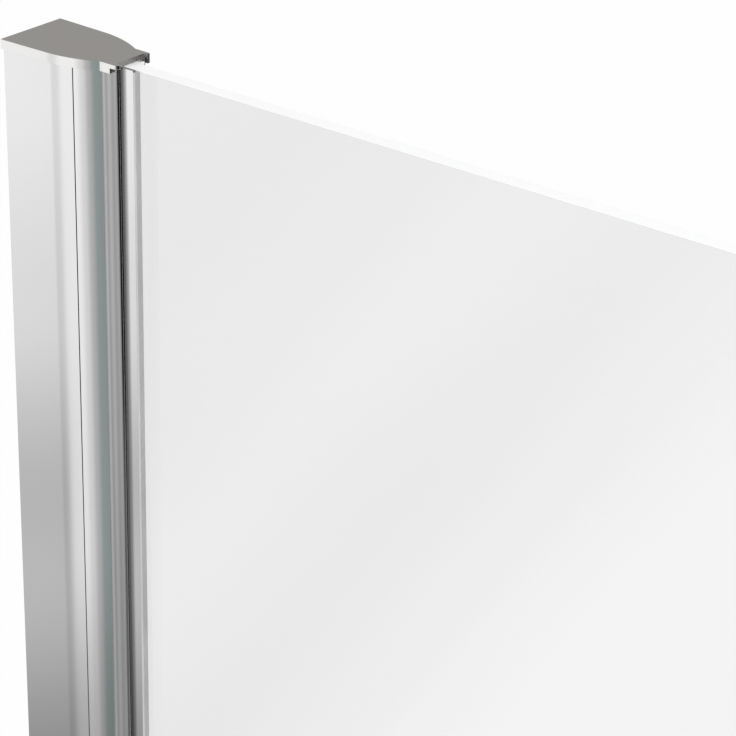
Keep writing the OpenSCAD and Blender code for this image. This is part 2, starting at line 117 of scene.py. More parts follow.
def pushed_bar(name, outline, start, end, holes=(), along="Z"):
    """Section in millimetres, pushed along one axis from start to end, with closed ends."""
    loops = [list(outline)] + [list(hole) for hole in holes]
    flat = [point for loop in loops for point in loop]
    place = {"X": lambda u, v, w: (w, u, v), "Y": lambda u, v, w: (u, w, v),
             "Z": lambda u, v, w: (u, v, w)}[along]
    shape = bmesh.new()
    rings = [[shape.verts.new(Vector(place(u, v, w)) * MM) for u, v in flat]
             for w in (start, end)]
    for corners in tessellate_polygon([[Vector((u, v, 0)) for u, v in loop] for loop in loops]):
        for ring in rings:
            shape.faces.new([ring[i] for i in corners])
    first = 0
    for loop in loops:
        for i in range(len(loop)):
            a, b = first + i, first + (i + 1) % len(loop)
            shape.faces.new([rings[0][a], rings[0][b], rings[1][b], rings[1][a]])
        first += len(loop)
    return as_piece(name, shape)


def fix_modifiers(piece):
    """Replaces the mesh by what its modifiers make of it."""
    graph = bpy.context.evaluated_depsgraph_get()
    made = bpy.data.meshes.new_from_object(piece.evaluated_get(graph))
    piece.modifiers.clear()
    piece.data = made


def combine(piece, others, operation):
    """Cuts other solids out of a piece, or joins them to it, and throws the others away."""
    for other in others:
        step = piece.modifiers.new("step", "BOOLEAN")
        step.operation = operation
        step.solver = "EXACT"
        step.object = other
    fix_modifiers(piece)
    for other in others:
        bpy.data.objects.remove(other)


def ease_edges(piece, width, steps=2, sharp=35.0):
    """Rounds the sharp edges by a width in millimetres and shades the curves smooth."""
    for face in piece.data.polygons:
        face.use_smooth = True
    easing = piece.modifiers.new("eased", "BEVEL")
    easing.width = width * MM
    easing.segments = steps
    easing.limit_method = "ANGLE"
    easing.angle_limit = math.radians(sharp)
    easing.use_clamp_overlap = True
    shading = piece.modifiers.new("flats", "WEIGHTED_NORMAL")
    shading.keep_sharp = True
    fix_modifiers(piece)


def round_hole(axis, place, radius, length, sides=48):
    """Round cutter that runs along an axis from a place, in millimetres."""
    x, y, z = place
    middle, start = {"X": ((y, z), x), "Y": ((x, z), y), "Z": ((x, y), z)}[axis]
    ring = arc(middle, radius, 0.0, 360.0, sides)[:-1]
    return pushed_bar("cutter", ring, start, start + length, along=axis)


def slot_cutter(y, height, radius):
    """Slot with round ends for the travel of the panel, cut from y towards the far side."""
    ends = arc((SLOT_START, height), radius, -90.0, -270.0, steps=16)
    ends += arc((SLOT_START + SLOT_TRAVEL, height), radius, 90.0, -90.0, steps=16)
    return pushed_bar("cutter", ends, y, y + SLOT_CUT, along="Y")


channel_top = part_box("wall_channel")[1].z / MM
arm_half = bow_half(CHANNEL_DEPTH) - ARM_EDGE
outer_side = [(0.0, side_half(0.0)), BOW_START]
bow_places = [SIDE_STRAIGHT + BOW_STEP * i for i in range(1, BOW_POINTS + 1)]
outer_side += [(x, bow_half(x)) for x in bow_places]
outer_side += [(CHANNEL_DEPTH - SEAM_BEVEL, bow_half(CHANNEL_DEPTH - SEAM_BEVEL)),
               (CHANNEL_DEPTH, bow_half(CHANNEL_DEPTH) - SEAM_BEVEL)]
half_section = outer_side + [(CHANNEL_DEPTH, arm_half), (CHANNEL_BASE, arm_half)]
channel = pushed_bar("polished_wall_channel", half_section + mirrored_side(half_section),
                     0.0, channel_top)
wall_hole_step = (channel_top - 2 * WALL_HOLE_INSET) / (WALL_HOLES - 1)
cutters = [round_hole("X", (-CUT_PAST, 0.0, WALL_HOLE_INSET + i * wall_hole_step),
                      WALL_HOLE_RADIUS, CHANNEL_BASE + 2 * CUT_PAST) for i in range(WALL_HOLES)]
for height in SLOT_HEIGHTS:
    cutters.append(slot_cutter(arm_half - CUT_PAST, height, SLOT_RADIUS))
    cutters.append(slot_cutter(arm_half + HEAD_SLOT_FLOOR, height, HEAD_SLOT_RADIUS))
combine(channel, cutters, "DIFFERENCE")
ease_edges(channel, CHANNEL_EASE)


def new_finish(name):
    """New material with a Principled shader: returns it with its nodes, links and shader."""
    material = bpy.data.materials.new(name)
    material.use_nodes = True
    nodes, links = material.node_tree.nodes, material.node_tree.links
    shader = nodes["Principled BSDF"]
    return material, nodes, links, shader


def surface_noise(nodes, links, scale, stretch=(1.0, 1.0, 1.0), detail=4.0):
    """Noise fixed to the object, in cycles per metre, squeezed or stretched along its axes."""
    place = nodes.new("ShaderNodeTexCoord")
    stretched = nodes.new("ShaderNodeMapping")
    stretched.inputs["Scale"].default_value = stretch
    noise = nodes.new("ShaderNodeTexNoise")
    noise.inputs["Scale"].default_value = scale
    noise.inputs["Detail"].default_value = detail
    links.new(place.outputs["Object"], stretched.inputs["Vector"])
    links.new(stretched.outputs["Vector"], noise.inputs["Vector"])
    return noise.outputs["Fac"]


def between(nodes, links, value, low, high):
    """Spreads the usual range of a noise value over the range from low to high."""
    spread = nodes.new("ShaderNodeMapRange")
    spread.inputs["From Min"].default_value = NOISE_LOW
    spread.inputs["From Max"].default_value = NOISE_HIGH
    spread.inputs["To Min"].default_value = low
    spread.inputs["To Max"].default_value = high
    links.new(value, spread.inputs["Value"])
    return spread.outputs["Result"]


def relief(nodes, links, value, shader, depth, strength=1.0):
    """Makes a noise value into a fine relief of the given depth in millimetres."""
    bump = nodes.new("ShaderNodeBump")
    bump.inputs["Distance"].default_value = depth * MM
    bump.inputs["Strength"].default_value = strength
    links.new(value, bump.inputs["Height"])
    links.new(bump.outputs["Normal"], shader.inputs["Normal"])


def ramp(nodes, links, value, stops):
    """Tones that follow a value, eased between stops of (value, grey) or (value, colour)."""
    low, high = stops[0][0], stops[-1][0]
    spread = nodes.new("ShaderNodeMapRange")
    spread.inputs["From Min"].default_value = low
    spread.inputs["From Max"].default_value = high
    links.new(value, spread.inputs["Value"])
    tones = nodes.new("ShaderNodeValToRGB")
    tones.color_ramp.interpolation = "EASE"
    elements = tones.color_ramp.elements
    while len(elements) > 1:
        elements.remove(elements[-1])
    for i, (place, tone) in enumerate(stops):
        at = (place - low) / (high - low)
        stop = elements[0] if i == 0 else elements.new(at)
        stop.position = at
        stop.color = (*tone, 1.0) if isinstance(tone, tuple) else (tone, tone, tone, 1.0)
    links.new(spread.outputs["Result"], tones.inputs["Fac"])
    return tones.outputs["Color"]


def greys_along_x(nodes, links, stops):
    """Greys that change with the distance from the wall, at stops of (millimetres, grey)."""
    place = nodes.new("ShaderNodeTexCoord")
    split = nodes.new("ShaderNodeSeparateXYZ")
    links.new(place.outputs["Object"], split.inputs["Vector"])
    return ramp(nodes, links, split.outputs["X"], [(x * MM, grey) for x, grey in stops])


def pressed_aluminium(name, grey, roughness):
    """Anodised aluminium with its die lines in relief, in one grey, or in greys at stops along X
    that paint light and shade.
    """
    material, nodes, links, shader = new_finish(name)
    if isinstance(grey, tuple):
        links.new(greys_along_x(nodes, links, grey), shader.inputs["Base Color"])
    else:
        shader.inputs["Base Color"].default_value = (grey, grey, grey, 1.0)
    shader.inputs["Metallic"].default_value = 1.0
    smudges = surface_noise(nodes, links, scale=14.0, stretch=(1.0, 1.0, 0.4))
    links.new(between(nodes, links, smudges, *roughness), shader.inputs["Roughness"])
    die_lines = surface_noise(nodes, links, scale=900.0, stretch=(1.0, 1.0, 0.002), detail=2.0)
    relief(nodes, links, die_lines, shader, depth=0.002)
    return material


def dress(piece, material, *others):
    """Gives a piece its material, and others to faces that a test picks by middle and normal."""
    piece.data.materials.clear()
    piece.data.materials.append(material)
    for face in piece.data.polygons:
        face.material_index = 0
    for number, (other, test) in enumerate(others, 1):
        piece.data.materials.append(other)
        for face in piece.data.polygons:
            if test(face.center / MM, face.normal):
                face.material_index = number


def fit(piece, node, body):
    """Puts a finished piece in the place of its plain solid, on the body that carries it."""
    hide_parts(node)
    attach(piece, body)


bright_aluminium = pressed_aluminium("bright_aluminium", BRIGHT_GREY, BRIGHT_ROUGHNESS)
dress(channel, bright_aluminium)
fit(channel, "wall_channel", "wall")

# Three pan-head screws of stainless steel lock the sliding half in the slots of the channel, each
# on a white nylon washer. A turned and chromed cap is snapped over each head.

COVER_WALL = 1.2
COVER_BORE = 4.05
COVER_ROUND = 0.9
COVER_EASE = 0.15


def turned(name, outline, middles, sides=96):
    """Solid turned about a line along Y through each middle: outline is a loop of (radius, y)."""
    shape = bmesh.new()
    for x, z in middles:
        rings = []
        for radius, y in outline:
            angles = [2 * math.pi * i / sides for i in range(sides if radius > 0 else 1)]
            rings.append([shape.verts.new(Vector((x + radius * math.sin(a), y,
                                                  z + radius * math.cos(a))) * MM) for a in angles])
        for here, there in zip(rings, rings[1:] + rings[:1]):
            for i in range(sides):
                corners = [here[i % len(here)], here[(i + 1) % len(here)],
                           there[(i + 1) % len(there)], there[i % len(there)]]
                corners = list(dict.fromkeys(corners))
                if len(corners) > 2:
                    shape.faces.new(corners)
    return as_piece(name, shape)


def chromed(name, colour, roughness):
    """Chrome plating with faint wiping marks and the slight ripple of the polished metal."""
    material, nodes, links, shader = new_finish(name)
    shader.inputs["Base Color"].default_value = (*colour, 1.0)
    shader.inputs["Metallic"].default_value = 1.0
    wiping_marks = surface_noise(nodes, links, scale=60.0)
    links.new(between(nodes, links, wiping_marks, *roughness), shader.inputs["Roughness"])
    ripple = surface_noise(nodes, links, scale=500.0, detail=2.0)
    relief(nodes, links, ripple, shader, depth=0.001)
    return material


def moulded(name, dark, light, roughness, grain=0.01):
    """Moulded plastic or rubber: a tone that drifts from dark to light, and a fine grain."""
    material, nodes, links, shader = new_finish(name)
    tone = nodes.new("ShaderNodeMix")
    tone.data_type = "RGBA"
    tone.inputs["A"].default_value = (*dark, 1.0)
    tone.inputs["B"].default_value = (*light, 1.0)
    drift = surface_noise(nodes, links, scale=35.0)
    links.new(between(nodes, links, drift, low=0.0, high=1.0), tone.inputs["Factor"])
    links.new(tone.outputs["Result"], shader.inputs["Base Color"])
    grains = surface_noise(nodes, links, scale=1600.0)
    links.new(between(nodes, links, grains, *roughness), shader.inputs["Roughness"])
    relief(nodes, links, grains, shader, depth=grain)
    return material


def refinish(node, material):
    """Gives a plain solid that stays in the scene its real material."""
    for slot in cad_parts[node].material_slots:
        slot.material = material


low, high = (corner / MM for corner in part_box("screw_covers"))
cover_radius = (high.x - low.x) / 2
cover_outline = [(0.0, high.y)]
cover_outline += arc((cover_radius - COVER_ROUND, high.y - COVER_ROUND), COVER_ROUND,
                     90.0, 0.0, steps=6)
cover_outline += [(cover_radius, low.y), (COVER_BORE, low.y), (COVER_BORE, high.y - COVER_WALL),
                  (0.0, high.y - COVER_WALL)]
covers = turned("chromed_screw_covers", cover_outline, [(SLOT_START, z) for z in SLOT_HEIGHTS])
ease_edges(covers, COVER_EASE)
cap_chrome = chromed("cap_chrome", colour=(0.93, 0.925, 0.915), roughness=(0.05, 0.1))
dress(covers, cap_chrome)
fit(covers, "screw_covers", "panel")

stainless, nodes, links, shader = new_finish("stainless_steel")
shader.inputs["Base Color"].default_value = (0.62, 0.62, 0.63, 1.0)
shader.inputs["Metallic"].default_value = 1.0
tool_marks = surface_noise(nodes, links, scale=2500.0, stretch=(1.0, 0.05, 1.0), detail=2.0)
links.new(between(nodes, links, tool_marks, low=0.22, high=0.38), shader.inputs["Roughness"])
relief(nodes, links, tool_marks, shader, depth=0.003)
refinish("locking_screws", stainless)
white_nylon = moulded("white_nylon", dark=(0.80, 0.80, 0.78), light=(0.87, 0.87, 0.85),
                      roughness=(0.4, 0.5))
refinish("locking_washers", white_nylon)

# The glazing profile is the sliding half of the upright, in the same aluminium. Its bowed nose ends
# in two satin lips, with painted highlight and shade lines across them, and its two legs slide in
# the channel. From the near lip a cheek runs on beside the glass, with painted shade that darkens
# its grey towards its hollow root.

SEAM = 0.1
NOSE_FRONT = 49.8
NOSE_WALL = 1.5
LIP_HALF = 7.6
LIP_INNER = 4.4
LIP_FILLET = 4.0
LIP_CORNER = 1.2
CHEEK_HALF = 5.8
HOLLOW_RADIUS = 9.0
HOLLOW_TURN = 16.0
POCKET_HALF = 6.1
POCKET_START = 25.5
POCKET_END = 48.0
POCKET_FLOOR = 1.5
LEG_START = 3.0
LEG_THICK = 1.5
LEG_GAP = 0.3
SCREW_HOLE_RADIUS = 2.05
PROFILE_EASE = 0.12
# Greys at stops along X on the satin lips: painted highlight and shade lines, bright at the
# fillet's edge, then darker and lighter lines past it.
LIP_PAINTED_LINES = ((42.3, 0.56), (42.9, 0.70), (44.0, 0.52), (45.4, 0.66), (47.2, 0.5), (48.2, 0.57),
             (49.2, 0.53))
LIP_START = 41.5
LIP_MARGIN = 0.3
# Painted shade on the cheek: its grey falls from the bright grey at 53 mm to a dark 0.12 at its
# root by the lip, at 50.2 mm.
CHEEK_PAINTED_SHADE = ((50.2, 0.12), (53.0, 0.905))
CHEEK_SHADE_MARGIN = 0.4
CHAMBER_STEPS = 8
FACING = 0.9


def nose_side(x_start, grow=0.0):
    """Far side of the nose from x_start round to its front, grown outwards."""
    radius = LIP_FILLET - grow
    fillet_y = LIP_HALF + grow + radius
    reach = BOW_RADIUS + grow + radius
    fillet_x = BOW_CENTRE[0] + math.sqrt(reach ** 2 - (fillet_y - BOW_CENTRE[1]) ** 2)
    touch = math.degrees(math.asin((fillet_y - BOW_CENTRE[1]) / reach))
    start = math.degrees(math.acos((x_start - BOW_CENTRE[0]) / (BOW_RADIUS + grow)))
    corner = LIP_CORNER + grow / 2
    front = NOSE_FRONT + grow
    return (arc(BOW_CENTRE, BOW_RADIUS + grow, start, touch, steps=28)
            + arc((fillet_x, fillet_y), radius, touch + 180.0, 270.0, steps=8)
            + arc((front - corner, LIP_HALF + grow - corner), corner, 90.0, 0.0, steps=10))


profile_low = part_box("glazing_profile")[0].z / MM
profile_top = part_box("glazing_profile")[1].z / MM
nose_start = CHANNEL_DEPTH + SEAM
leg_half = arm_half - LEG_GAP
cheek_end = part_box("glazing_profile")[1].x / MM
bowed_side = [(nose_start, bow_half(nose_start) - SEAM_BEVEL)] + nose_side(nose_start + SEAM_BEVEL)
pocket_side = [(POCKET_END, LIP_INNER), (POCKET_END, POCKET_HALF), (POCKET_START, POCKET_HALF)]
hollow_centre = (NOSE_FRONT + HOLLOW_RADIUS * math.sin(math.radians(HOLLOW_TURN)),
                 CHEEK_HALF + HOLLOW_RADIUS)
cheek = arc(hollow_centre, HOLLOW_RADIUS, 270.0 - HOLLOW_TURN, 270.0, steps=8)
cheek += [(cheek_end, CHEEK_HALF), (cheek_end, LIP_INNER)]
far_side = bowed_side + [(NOSE_FRONT, LIP_INNER)] + pocket_side
near_side = mirrored_side(bowed_side + cheek + pocket_side)
near_leg = [(nose_start, -leg_half), (LEG_START, -leg_half), (LEG_START, LEG_THICK - leg_half),
            (nose_start, LEG_THICK - leg_half), (nose_start, -LIP_HALF),
            (POCKET_START - POCKET_FLOOR, -LIP_HALF)]
chamber_start = nose_start + NOSE_WALL
chamber_end = BOW_CENTRE[0] + math.sqrt((BOW_RADIUS - NOSE_WALL) ** 2
                                        - (LIP_HALF - BOW_CENTRE[1]) ** 2)
chamber_places = [chamber_start + (chamber_end - chamber_start) * i / CHAMBER_STEPS
                  for i in range(CHAMBER_STEPS + 1)]
far_chamber = [(chamber_start, LIP_HALF)] + [(x, bow_half(x, -NOSE_WALL)) for x in chamber_places]
near_chamber = [(x, -y) for x, y in far_chamber]
profile = pushed_bar("polished_glazing_profile",
                     far_side + near_side + near_leg + mirrored_side(near_leg),
                     profile_low, profile_top, holes=[far_chamber, near_chamber])
combine(profile, [round_hole("Y", (SLOT_START, leg_half - LEG_THICK - CUT_PAST, height),
                             SCREW_HOLE_RADIUS, LEG_THICK + 2 * CUT_PAST)
                  for height in SLOT_HEIGHTS], "DIFFERENCE")
ease_edges(profile, PROFILE_EASE)
# The satin lips carry painted highlight and shade lines in their colour.
satin_aluminium = pressed_aluminium("satin_aluminium", LIP_PAINTED_LINES, roughness=(0.36, 0.46))
# The cheek is the bright aluminium, with painted shade in its colour towards its root.
cheek_aluminium_painted_shade = pressed_aluminium("cheek_aluminium_painted_shade", CHEEK_PAINTED_SHADE, BRIGHT_ROUGHNESS)
cut_aluminium = pressed_aluminium("cut_aluminium", grey=0.9, roughness=(0.3, 0.4))
dress(profile, bright_aluminium,
      (satin_aluminium, lambda middle, normal: (
          middle.x > LIP_START and abs(middle.y) > LIP_HALF - LIP_MARGIN
          and abs(normal.y) > FACING)),
      (cheek_aluminium_painted_shade, lambda middle, normal: (
          middle.x > NOSE_FRONT and abs(middle.y + CHEEK_HALF) < CHEEK_SHADE_MARGIN
          and normal.y < -FACING)),
      (cut_aluminium, lambda middle, normal: abs(normal.z) > FACING))
fit(profile, "glazing_profile", "panel")

# Small parts inside the nose: rubber packers that the edge of the glass presses on, a rubber pad
# that it stands on, and the grey plastic foot, pressed into the end of the profile, that carries
# the pad. They are plain mouldings, so their solids stay and only take their finish.

black_rubber = moulded("black_rubber", dark=(0.035, 0.035, 0.038), light=(0.055, 0.055, 0.058),
                       roughness=(0.6, 0.75), grain=0.02)
grey_plastic = moulded("grey_plastic", dark=(0.31, 0.31, 0.32), light=(0.37, 0.37, 0.38),
                       roughness=(0.45, 0.58))
refinish("glass_packers", black_rubber)
refinish("glass_foot_pad", black_rubber)
refinish("profile_foot", grey_plastic)

# The glass panel is one pane of clear toughened glass, 6 mm thick. Its edges are ground to a small
# bevel and look white, and its two free corners are rounded.

GLASS_THICK = 6.0
GLASS_BEVEL = 0.5
GLASS_CORNER = 6.0

low, high = (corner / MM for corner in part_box("glass_panel"))
glass_foot = low.z
glass_outline = [(low.x, high.z), (low.x, low.z)]
glass_outline += arc((high.x - GLASS_CORNER, low.z + GLASS_CORNER), GLASS_CORNER,
                     -90.0, 0.0, steps=12)
glass_outline += arc((high.x - GLASS_CORNER, high.z - GLASS_CORNER), GLASS_CORNER,
                     0.0, 90.0, steps=12)
glass = pushed_bar("clear_glass_panel", glass_outline, -GLASS_THICK / 2, GLASS_THICK / 2, along="Y")
ease_edges(glass, GLASS_BEVEL, steps=1, sharp=60.0)
clear_glass, nodes, links, shader = new_finish("clear_glass")
shader.inputs["Base Color"].default_value = (0.868, 0.87, 0.869, 1.0)
shader.inputs["Roughness"].default_value = 0.0
shader.inputs["IOR"].default_value = 1.5
shader.inputs["Transmission Weight"].default_value = 1.0
toughening_waves = surface_noise(nodes, links, scale=3.0, stretch=(1.0, 1.0, 0.3), detail=1.0)
relief(nodes, links, toughening_waves, shader, depth=0.01, strength=0.5)
ground_edge, nodes, links, shader = new_finish("ground_glass_edge")
shader.inputs["Base Color"].default_value = (0.96, 0.97, 0.965, 1.0)
frosting = surface_noise(nodes, links, scale=700.0)
links.new(between(nodes, links, frosting, low=0.3, high=0.5), shader.inputs["Roughness"])
relief(nodes, links, frosting, shader, depth=0.01)
dress(glass, clear_glass, (ground_edge, lambda middle, normal: abs(normal.y) < FACING))
fit(glass, "glass_panel", "panel")

# Two strips of soft vinyl are pushed into the pocket, one on each side of the glass, and lap over
# the ends of the cheek and the far lip. They are one vinyl in two tones: the near one is painted
# grey as painted shade, and the far one, which shows through the edge of the glass, is painted near
# white as painted light. Both are pushed through a die, with two grooves along the back.

GASKET_DEPTH = 17.0
GASKET_GAP = 0.05
GASKET_GROOVES = 2
GROOVE_RADIUS = 0.8
GASKET_FLANGE = 0.8
GASKET_ROUND = 0.3
GASKET_EASE = 0.05


def gasket_section(front):
    """Section of a strip on the far side, with a flange over the end of a lip, up to its front."""
    back = POCKET_END - GASKET_DEPTH
    touch = GLASS_THICK / 2 + GASKET_GAP
    section = [(back, touch), (front, touch)]
    section += arc((front - GASKET_ROUND, CHEEK_HALF - GASKET_ROUND), GASKET_ROUND,
                   0.0, 90.0, steps=5)
    section += [(front - GASKET_FLANGE, CHEEK_HALF), (front - GASKET_FLANGE, LIP_INNER),
                (POCKET_END, LIP_INNER), (POCKET_END, POCKET_HALF)]
    for i in range(1, GASKET_GROOVES + 1):
        groove = (POCKET_END - i * GASKET_DEPTH / (GASKET_GROOVES + 1), POCKET_HALF)
        section += arc(groove, GROOVE_RADIUS, 0.0, -180.0, steps=8)
    return section + [(back, POCKET_HALF)]


# Painted shade and painted light: the near strip's vinyl is painted a mid grey, and the far strip's
# the same vinyl painted near white.
painted_shade_vinyl = moulded("soft_vinyl_painted_shade", dark=(0.47, 0.47, 0.47), light=(0.53, 0.53, 0.53),
                     roughness=(0.3, 0.45), grain=0.004)
painted_light_vinyl = moulded("soft_vinyl_painted_light", dark=(0.93, 0.935, 0.93), light=(0.96, 0.965, 0.96),
                      roughness=(0.25, 0.4), grain=0.004)
for name, node, side, vinyl in (("near_vinyl_gasket", "near_gasket", -1.0, painted_shade_vinyl),
                                ("far_vinyl_gasket", "far_gasket", 1.0, painted_light_vinyl)):
    low, high = (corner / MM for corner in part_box(node))
    strip = pushed_bar(name, [(x, side * y) for x, y in gasket_section(high.x)], low.z, high.z)
    ease_edges(strip, GASKET_EASE)
    dress(strip, vinyl)
    fit(strip, node, "panel")

# A clear vinyl seal is clipped on the bottom edge of the glass. It is pushed through a die as one
# section: a grip with two inner ribs, a short neck, and a soft tube that rests on the floor.

SEAL_WALL = 1.2
SEAL_EASE = 0.1
RIB_DEPTH = 0.25
RIB_HALF = 0.4
RIB_DROPS = (4.5, 1.0)
SEAL_GAP = 0.02

low, high = (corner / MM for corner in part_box("bottom_seal"))
tube_radius = (glass_foot - SEAL_WALL) / 2
neck = math.degrees(math.acos(SEAL_WALL / tube_radius))


def inside_of_grip(side):
    """Inner face of the grip on one side of the glass, from its floor up over two ribs."""
    wall = GLASS_THICK / 2 + RIB_DEPTH
    face = [(wall, glass_foot + SEAL_GAP)]
    for drop in RIB_DROPS:
        rib = high.z - drop
        face += [(wall, rib - RIB_HALF), (GLASS_THICK / 2 + SEAL_GAP, rib), (wall, rib + RIB_HALF)]
    return [(side * y, z) for y, z in face + [(wall, high.z)]]


seal_section = [(high.y, high.z), (high.y, 2 * tube_radius), (SEAL_WALL, 2 * tube_radius)]
seal_section += arc((0.0, tube_radius), tube_radius, neck, -180.0 - neck, steps=40)
seal_section += [(-SEAL_WALL, 2 * tube_radius), (low.y, 2 * tube_radius), (low.y, high.z)]
seal_section += inside_of_grip(-1.0)[::-1] + inside_of_grip(1.0)
bore = arc((0.0, tube_radius), tube_radius - SEAL_WALL, 0.0, 360.0, steps=40)[:-1]
seal = pushed_bar("clear_bottom_seal", seal_section, low.x, high.x, holes=[bore], along="X")
ease_edges(seal, SEAL_EASE)
clear_vinyl = moulded("clear_vinyl", dark=(0.88, 0.90, 0.90), light=(0.92, 0.94, 0.94),
                      roughness=(0.12, 0.22), grain=0.002)
shader = clear_vinyl.node_tree.nodes["Principled BSDF"]
shader.inputs["Transmission Weight"].default_value = 0.8
shader.inputs["IOR"].default_value = 1.4
dress(seal, clear_vinyl)
fit(seal, "bottom_seal", "panel")

# The chromed cap closes both halves of the upright at the top. Its edge laps over the sides of the
# profiles, on the far side up to the lip, and a notch clears the glass. A hollow plug under it
# is pushed in between the legs. It is cast in one piece, then polished and plated.

CAP_EDGE = 1.2
CAP_GAP = 0.3
CAP_TOP = 1.5
CAP_EDGE_HEIGHT = 3.6
CAP_EDGE_SETBACK = 2.4
CAP_EASE = 0.3
NOTCH_NEAR = 6.8
NOTCH_FAR = LIP_HALF + CAP_GAP
NOTCH_DEPTH = 2.6
NOTCH_CORNER = 1.5
NOTCH_BACK_MARGIN = 0.4
NOTCH_SIDE_MARGIN = 0.1
PLUG_START = 4.0
PLUG_WALL = 1.5
SMALLEST_GAP = 0.001
WELD_REACH = 0.002
WELD_TURN = 0.2


def weld(pieces):
    """Joins overlapping solids into the first of them as one skin."""
    body = pieces[0]
    combine(body, pieces[1:], "UNION")
    skin = bmesh.new()
    skin.from_mesh(body.data)
    bmesh.ops.remove_doubles(skin, verts=skin.verts, dist=WELD_REACH * MM)
    bmesh.ops.dissolve_limit(skin, angle_limit=math.radians(WELD_TURN), verts=skin.verts,
                             edges=skin.edges)
    skin.to_mesh(body.data)
    skin.free()
    return body


cap_low, cap_high = (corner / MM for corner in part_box("top_cap"))
grow = CAP_EDGE + CAP_GAP
cap_front = NOSE_FRONT + grow
cut_front = cap_front + CUT_PAST
edge_end = NOSE_FRONT - CAP_EDGE_SETBACK
side_end = BOW_START[0] + grow * math.sin(LEAN_ANGLE)
lap = [(0.0, side_half(0.0, grow))] + nose_side(side_end, grow)
cap = pushed_bar("chromed_cap", lap + mirrored_side(lap), cap_high.z - CAP_EDGE_HEIGHT, cap_high.z)
inner_end = BOW_START[0] + CAP_GAP * math.sin(LEAN_ANGLE)
inner_lap = [(-CUT_PAST, side_half(0.0, CAP_GAP))] + nose_side(inner_end, CAP_GAP)
under_cap = [point for point in inner_lap if point[1] > NOTCH_FAR - SMALLEST_GAP]
under_cap += [(cut_front, NOTCH_FAR), (cut_front, -CHANNEL_WIDTH / 2),
              (edge_end, -CHANNEL_WIDTH / 2), (edge_end, -NOTCH_FAR)]
under_cap += mirrored_side([point for point in inner_lap if point[0] < edge_end])
far_end = NOSE_FRONT + CAP_GAP
far_front = [(far_end, 0.0), (cut_front, 0.0), (cut_front, CHANNEL_WIDTH / 2),
             (far_end, CHANNEL_WIDTH / 2)]
notch_back = cap_front - NOTCH_DEPTH
notch_round = far_end - notch_back
notch = [(cut_front, NOTCH_FAR)]
notch += arc((far_end, NOTCH_FAR - notch_round), notch_round, 90.0, 180.0, steps=8)
notch += arc((notch_back + NOTCH_CORNER, NOTCH_CORNER - NOTCH_NEAR), NOTCH_CORNER,
             180.0, 270.0, steps=8)
notch += [(cut_front, -NOTCH_NEAR)]
cut_low = cap_high.z - CAP_EDGE_HEIGHT - CUT_PAST
cut_high = cap_high.z + CUT_PAST
combine(cap, [pushed_bar("cutter", under_cap, cut_low, cap_high.z - CAP_TOP),
              pushed_bar("cutter", far_front, cut_low, cut_high),
              pushed_bar("cutter", notch, cut_low, cut_high)], "DIFFERENCE")
plug_half = leg_half - LEG_THICK - CAP_GAP / 2
plug_end = POCKET_START - POCKET_FLOOR - CAP_GAP
plug_outer = [(PLUG_START, -plug_half), (plug_end, -plug_half), (plug_end, plug_half),
              (PLUG_START, plug_half)]
hollow_start, hollow_end = PLUG_START + PLUG_WALL, plug_end - PLUG_WALL
hollow_half = plug_half - PLUG_WALL
plug_hollow = [(hollow_start, -hollow_half), (hollow_end, -hollow_half), (hollow_end, hollow_half),
               (hollow_start, hollow_half)]
plug = pushed_bar("cap_plug", plug_outer, cap_low.z, cap_high.z - CAP_TOP / 2, holes=[plug_hollow])
cap = weld([cap, plug])
ease_edges(cap, CAP_EASE, steps=3, sharp=40.0)
# Painted shade: the faces in the notch take a darker copy of the cap's chrome, which is also
# rougher.
dull_chrome_painted_shade = chromed("dull_chrome_painted_shade", colour=(0.8, 0.79, 0.78), roughness=(0.5, 0.6))
dress(cap, cap_chrome,
      (dull_chrome_painted_shade, lambda middle, normal: (
          middle.x > notch_back - NOTCH_BACK_MARGIN and abs(normal.z) < FACING
          and -NOTCH_NEAR - NOTCH_SIDE_MARGIN < middle.y < NOTCH_FAR + NOTCH_SIDE_MARGIN)))
fit(cap, "top_cap", "panel")

# The glass clamp is a chromed block over the top edge of the glass, with a socket for the bar. A
# folded rubber liner keeps it off the glass, two set screws press the liner on the pane, and a
# third holds the bar.

CLAMP_CORNER = 5.0
CLAMP_EASE = 0.5
SOCKET_RADIUS = 8.05
SOCKET_WALL = 4.0
CLAMP_SCREW_RADIUS = 3.05
CLAMP_SCREW_SIDE = 9.0
CLAMP_SCREW_DROP = 8.0
BAR_SCREW_RADIUS = 2.05

low, high = (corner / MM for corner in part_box("glass_clamp"))
bar_low, bar_high = (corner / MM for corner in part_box("support_bar"))
bar_x, bar_z = (bar_low.x + bar_high.x) / 2, (bar_low.z + bar_high.z) / 2
clamp_half = -low.y
collar_radius = SOCKET_RADIUS + SOCKET_WALL
left, right = low.x + CLAMP_CORNER, high.x - CLAMP_CORNER
bottom, top = low.z + CLAMP_CORNER, high.z - CLAMP_CORNER
block_outline = []
for i, corner in enumerate([(right, top), (left, top), (left, bottom), (right, bottom)]):
    block_outline += arc(corner, CLAMP_CORNER, 90.0 * i, 90.0 * (i + 1), steps=8)
block = pushed_bar("chromed_glass_clamp", block_outline, -clamp_half, clamp_half, along="Y")
collar_outline = [(0.0, clamp_half - CUT_PAST), (collar_radius, clamp_half - CUT_PAST),
                  (collar_radius, high.y), (0.0, high.y)]
clamp = weld([block, turned("collar", collar_outline, [(bar_x, bar_z)])])
liner_low, liner_high = (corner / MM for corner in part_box("clamp_liner"))
glass_slot = [(liner_low.y, low.z - CUT_PAST), (liner_high.y, low.z - CUT_PAST),
              (liner_high.y, liner_high.z), (liner_low.y, liner_high.z)]
